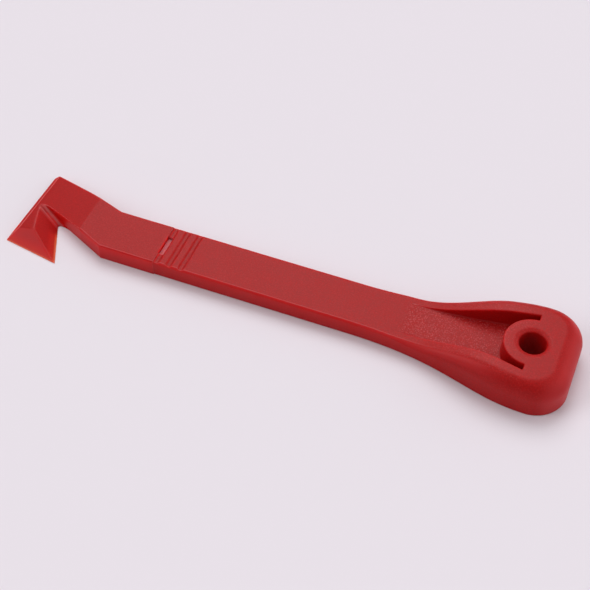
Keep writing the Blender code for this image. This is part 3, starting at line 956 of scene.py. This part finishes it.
def handle_plastic(look, sizes, joint):
    """Grained red of the handle: specks in the pocket, worn tops with painted sheen, painted light on the
    sides, and painted glow on shaded walls at the seam, in the grooves and in the key's slot.
    """
    material, shader, nodes, grain = start_plastic("grained_red", look)
    at = Surface(nodes)
    hole_x = hole_axis(sizes)
    floor = pocket_floor(at, sizes)
    # The rubbed tops get pale wear and painted sheen; the added specks there and on the pocket's floor are
    # grain with painted glints.
    worn_and_sheen = worn_and_sheen_tops(at, hole_x)
    added = nodes.plus(nodes.times(floor, look.pocket_specks), nodes.times(worn_and_sheen, look.worn_specks))
    body = grained(nodes, grain, look.red, nodes.plus(look.specks, added), look.pale)
    body = nodes.mix(nodes.times(worn_and_sheen, WORN_AND_SHEEN_PALE), body, look.pale)
    # Painted light: the shank's sides get a paler red, and their upper part a brighter red, where more light
    # would fall.
    shank = at.area(x=beyond(hole_x, -0.021, -0.056))
    walls = nodes.times(shank, at.area(sideways=(0.25, 0.60)))
    body = nodes.mix(nodes.times(walls, SHANK_PAINTED_LIGHT), body, look.painted_light_red)
    body = nodes.mix(nodes.times(walls, at.area(z=UPPER_WALL), SHANK_PAINTED_GLOW), body, look.painted_glow_red)
    # Painted highlight along the shank's near rim.
    rim = nodes.group(near_rim_highlight).outputs["Mask"]
    body = nodes.mix(nodes.times(rim, shank, RIM_HIGHLIGHT), body, look.pale)
    # Painted sheen on the block's end and the rails' shoulders.
    body = nodes.mix(nodes.times(painted_sheen_places(nodes, at, hole_x), HAZE_PAINTED_SHEEN), body, look.painted_light_red)
    # Painted glow: brighter red on the key slot's walls, the grooves' shaded walls and the land by the seam.
    slot = key_slot(at, joint)
    land = at.area(x=beyond(SEAM_X, 0.0004, 0.0002), flat_z=LAND_UPWARD)
    painted_glow_mask = nodes.most(slot, groove_wall_glow(nodes, at, sizes), nodes.times(land, HANDLE_LAND_PAINTED_GLOW))
    body = nodes.mix(painted_glow_mask, body, look.painted_glow_red)
    # Painted light: pale pink on the far end wall of the key's slot, which lies in shade.
    slot_end = nodes.times(slot, at.area(flat_y=(-0.5, -0.8)), SLOT_END_PAINTED_LIGHT)
    body = nodes.mix(slot_end, body, look.frost)
    rough = nodes.times(grain.outputs["Tone"], look.roughness)
    rubbed = at.area(x=beyond(hole_x, -0.030, -0.045))
    finish_plastic(nodes, shader, grain, look, body, rough, nodes.plus(1.0, floor), rubbed)
    return material


def root_glow_and_highlights(nodes, at, sizes):
    """Areas of the notch's round root, which gets painted glow, and of the two painted highlight lines along
    it.
    """
    corner, root, middle, across, half = notch_frame(sizes)
    axis = corner + middle * (sizes.notch_round / sin(half))
    away = nodes.vector("CROSS_PRODUCT", nodes.vector("SUBTRACT", at.position, axis), root)
    away = nodes.add("ShaderNodeVectorMath", {0: away}, operation="LENGTH").outputs["Value"]
    on_root = nodes.step(away, beyond(sizes.notch_round, 0.0003, 0.0001))
    facing = nodes.dot(at.smooth, across)
    root_highlights = []
    for turn, width in (THIN_ROOT_HIGHLIGHT, WIDE_ROOT_HIGHLIGHT):
        apart = nodes.maths("ABSOLUTE", nodes.maths("SUBTRACT", facing, turn))
        root_highlights.append(nodes.step(apart, width))
    return on_root, nodes.times(on_root, nodes.most(*root_highlights))


def glowing_edges(nodes, shader, at, look, near, body):
    """Colour with a painted glow over the wedge's thin edges. The thinnest also give out painted glow as
    emission, but not below.
    """
    sharp = nodes.times(near, at.area(z=(0.0007, 0.0002)))
    soft = nodes.times(near, at.area(z=(0.0020, 0.0)))
    light = nodes.mix(nodes.times(sharp, at.area(flat_z=(-0.6, -0.3))), UNLIT, look.edge_light)
    shader.inputs["Emission Strength"].default_value = 1.0
    nodes.link(light, shader.inputs["Emission Color"])
    glow = nodes.plus(nodes.times(soft, SOFT_GLOW), nodes.times(sharp, SHARP_GLOW))
    return nodes.mix(glow, body, look.glow)


def head_plastic(look, sizes, joint):
    """Red of the hook head: grained on the neck, smooth on the wedge, with painted glow at its thin edges and
    on shaded faces, painted light on the scraper's face and the neck's sides, and painted highlights on the
    ridge and the notch's root.
    """
    material, shader, nodes, grain = start_plastic("smooth_red", look)
    at = Surface(nodes)
    fold_x = HEAD_LOW.x + sizes.fold
    wedge = at.area(x=beyond(fold_x, 0.0002, -0.0002))
    neck = nodes.maths("SUBTRACT", 1.0, wedge)
    red = nodes.mix(wedge, look.red, look.smooth_red)
    calm = nodes.plus(WEDGE_GRAIN, nodes.times(neck, 1.0 - WEDGE_GRAIN))
    body = grained(nodes, grain, red, nodes.times(calm, look.specks), look.pale)
    walls = at.area(flat_z=(0.7, 0.4))
    neck_walls = nodes.times(walls, neck)
    # Painted light: paler red on the scraper's face and the neck's sides.
    scraper = nodes.dot(at.flat, bevel_normal(*scraper_edge(sizes), sizes.scraper_bevel))
    scraper_light_mask = nodes.most(nodes.step(scraper, ON_BEVEL), neck_walls)
    body = nodes.mix(nodes.times(scraper_light_mask, SCRAPER_PAINTED_LIGHT), body, look.painted_light_red)
    barb = nodes.step(nodes.dot(at.flat, barb_normal(sizes)), ON_BEVEL)
    near = at.area(y=(-0.004, -0.008), x=beyond(fold_x, 0.0, -0.003))
    # The notch's root gets painted glow and two painted highlight lines.
    root, root_highlights = root_glow_and_highlights(nodes, at, sizes)
    upper = nodes.plus(nodes.times(at.area(z=UPPER_WALL), NECK_UPPER_PAINTED_GLOW), NECK_PAINTED_GLOW)
    neck_end = at.area(x=beyond(SEAM_X, -0.0001, 0.0), flat_x=(0.8, 0.95))
    land = at.area(x=beyond(SEAM_X, -0.0004, -0.0002), flat_z=LAND_UPWARD)
    # Painted glow: brighter red on the barb's bevel, the wedge's sides, the thin wedge, the notch's root, the
    # neck's sides, the neck's end and the land by the seam.
    painted_glow_mask = nodes.most(
        nodes.times(barb, BARB_PAINTED_GLOW),
        nodes.times(walls, wedge, WEDGE_PAINTED_GLOW),
        nodes.times(near, at.area(z=(0.0030, 0.0005)), THIN_WEDGE_PAINTED_GLOW),
        nodes.times(root, at.area(z=(0.0035, 0.0010)), ROOT_PAINTED_GLOW),
        nodes.times(neck_walls, upper),
        nodes.times(neck_end, NECK_END_PAINTED_GLOW),
        nodes.times(land, HEAD_LAND_PAINTED_GLOW),
    )
    body = nodes.mix(painted_glow_mask, body, look.painted_glow_red)
    # Painted glow on the wedge's thin edges.
    body = glowing_edges(nodes, shader, at, look, near, body)
    # Painted light: pale pink on the key's top where it shows in its slot.
    key_face = at.area(z=beyond(joint.key_top, -0.0003, -0.0001), x=beyond(SEAM_X, 0.0, 0.0001))
    body = nodes.mix(key_face, body, look.frost)
    # Painted highlight along the ridge where the end bevel meets the top.
    ridge_highlight = at.area(smooth_x=(-0.68, -0.58), flat_z=(0.6, 0.7))
    ridge_highlight = nodes.times(at.area(smooth_x=(-0.28, -0.38)), ridge_highlight)
    # Painted highlight along the neck's near rim.
    rim = nodes.times(nodes.group(near_rim_highlight).outputs["Mask"], neck, RIM_HIGHLIGHT)
    pale = nodes.most(nodes.times(root_highlights, ROOT_LINES_HIGHLIGHT), nodes.times(ridge_highlight, RIDGE_HIGHLIGHT), rim)
    body = nodes.mix(pale, body, look.pale)
    end_bevel = nodes.times(at.area(flat_x=(-0.55, -0.65)), END_ROUGHNESS)
    rough = nodes.times(neck, look.roughness - look.smooth_roughness)
    rough = nodes.plus(rough, look.smooth_roughness, end_bevel)
    rubbed = nodes.maths("SUBTRACT", 1.0, barb)
    finish_plastic(nodes, shader, grain, look, body, rough, calm, rubbed)
    return material


class HIVETOOL_OT_handle(Operator):
    """Make the flared handle with its grooves, pocket and hang hole"""

    bl_idname = "hivetool.handle"
    bl_label = "Handle"

    def execute(self, context):
        scene = context.scene
        sizes = scene.handle_sizes
        low = (SEAM_X - OVERRUN, HANDLE_LOW.y, HANDLE_LOW.z)
        axes = grid(low, HANDLE_HIGH, sizes.cell)
        shell = skin("handle_shell", handle_field(sizes, scene.joint_sizes, axes), axes)
        mesh = cut_square("handle_skin", [(shell, 1)], SEAM_X + WITNESS_GAP / 2)
        material = handle_plastic(scene.plastic_look, sizes, scene.joint_sizes)
        add_piece("handle_skin", mesh, "handle", material)
        return {"FINISHED"}


class HIVETOOL_OT_hook_head(Operator):
    """Make the hook head with its bevels, notch, barb and tongue"""

    bl_idname = "hivetool.hook_head"
    bl_label = "Hook head"

    def execute(self, context):
        scene = context.scene
        sizes = scene.head_sizes
        joint = scene.joint_sizes
        high = (SEAM_X + OVERRUN, HEAD_HIGH.y, HEAD_HIGH.z)
        axes = grid(HEAD_LOW, high, sizes.cell)
        wedge = skin("wedge_shell", head_field(sizes, axes), axes)
        low = (SEAM_X - OVERRUN, -joint.tongue_width / 2, joint.tongue_low)
        high = (SEAM_X + joint.tongue, joint.tongue_width / 2, joint.key_top)
        axes = grid(low, high, sizes.cell)
        tongue = skin("tongue_shell", tongue_field(joint, axes), axes)
        mesh = cut_square("hook_head_skin", [(wedge, -1), (tongue, 1)], SEAM_X - WITNESS_GAP / 2)
        material = head_plastic(scene.plastic_look, sizes, joint)
        add_piece("hook_head_skin", mesh, "hook_head", material)
        return {"FINISHED"}


def table_top(look):
    """Pale table that the tool lies on."""
    mesh = bpy.data.meshes.new("table_top")
    square = ((-1, -1), (1, -1), (1, 1), (-1, 1))
    corners = [(x * TABLE_REACH, y * TABLE_REACH, TABLE_LEVEL) for x, y in square]
    mesh.from_pydata(corners, [], [(0, 1, 2, 3)])
    item = add_item("table_top", mesh)
    paint = {
        "Base Color": (*look.table, 1.0),
        "Roughness": TABLE_ROUGHNESS,
        "Specular IOR Level": TABLE_GLOSS,
    }
    mesh.materials.append(new_material("table_paint", paint)[0])


def studio_room(look):
    """Dim room with a bright ceiling on the tool's far left and a pale wall at the handle's end."""
    world = bpy.data.worlds.new("studio_room")
    world.use_nodes = True
    nodes = Nodes(world.node_tree)
    place = nodes.add("ShaderNodeTexCoord").outputs["Generated"]
    side = nodes.step(nodes.dot(place, Vector(CEILING_SIDE).normalized()), CEILING_SPREAD)
    height = nodes.step(nodes.split(place)["Z"], CEILING_HEIGHT)
    ceiling = nodes.times(side, height, look.ceiling - look.room)
    toward = nodes.dot(place, Vector(WALL_SIDE).normalized())
    wall = nodes.times(nodes.step(toward, WALL_SPREAD), look.wall - look.room)
    back = world.node_tree.nodes["Background"]
    nodes.link(nodes.plus(ceiling, wall, look.room), back.inputs["Strength"])
    back.inputs["Color"].default_value = (1.0, 1.0, 1.0, 1.0)
    bpy.context.scene.world = world


def far_light(name, side, width, strength):
    """Soft light from one side, even as daylight. Its strength is the share of a colour that it lights."""
    light = bpy.data.lights.new(name, "SUN")
    light.angle = width
    light.energy = strength * pi
    item = add_item(name, light)
    item.rotation_euler = Vector(side).to_track_quat("Z", "Y").to_euler()


def photo_camera(look):
    """Camera that looks down along the tool's near side."""
    camera = bpy.data.cameras.new("camera")
    camera.sensor_width = SENSOR_WIDTH
    camera.lens = look.lens
    camera.clip_start = NEAR_CLIP
    item = add_item("camera", camera)
    item.location = CAMERA_PLACE
    item.rotation_euler = Vector(CAMERA_AIM).to_track_quat("-Z", "Y").to_euler()
    bpy.context.scene.camera = item


class HIVETOOL_OT_stage(Operator):
    """Set the table, the light and the camera"""

    bl_idname = "hivetool.stage"
    bl_label = "Stage"

    def execute(self, context):
        look = context.scene.stage_look
        table_top(look)
        studio_room(look)
        far_light("wide_lamp", LAMP_SIDE, LAMP_WIDTH, look.lamp)
        far_light("window", WINDOW_SIDE, WINDOW_WIDTH, look.window)
        photo_camera(look)
        context.scene.view_settings.view_transform = "Standard"
        return {"FINISHED"}


OPERATORS = (HIVETOOL_OT_handle, HIVETOOL_OT_hook_head, HIVETOOL_OT_stage)
GROUPS = {
    "handle_sizes": HandleSizes,
    "head_sizes": HeadSizes,
    "joint_sizes": JointSizes,
    "plastic_look": PlasticLook,
    "stage_look": StageLook,
}


class HIVETOOL_PT_panel(Panel):
    """Buttons and sizes of the hive tool"""

    bl_idname = "HIVETOOL_PT_panel"
    bl_label = "Hive tool"
    bl_space_type = "VIEW_3D"
    bl_region_type = "UI"
    bl_category = "Hive tool"

    def draw(self, context):
        for operator in OPERATORS:
            self.layout.operator(operator.bl_idname)
        for group in GROUPS:
            sizes = getattr(context.scene, group)
            column = self.layout.column(align=True)
            for name in sizes.__annotations__:
                column.prop(sizes, name)


CLASSES = (*GROUPS.values(), *OPERATORS, HIVETOOL_PT_panel)


def register():
    for item in CLASSES:
        bpy.utils.register_class(item)
    for name, group in GROUPS.items():
        setattr(bpy.types.Scene, name, PointerProperty(type=group))


def unregister():
    for name in GROUPS:
        delattr(bpy.types.Scene, name)
    for item in reversed(CLASSES):
        bpy.utils.unregister_class(item)


def main():
    register()
    bpy.ops.hivetool.handle()
    bpy.ops.hivetool.hook_head()
    bpy.ops.hivetool.stage()


if __name__ == "__main__":
    main()
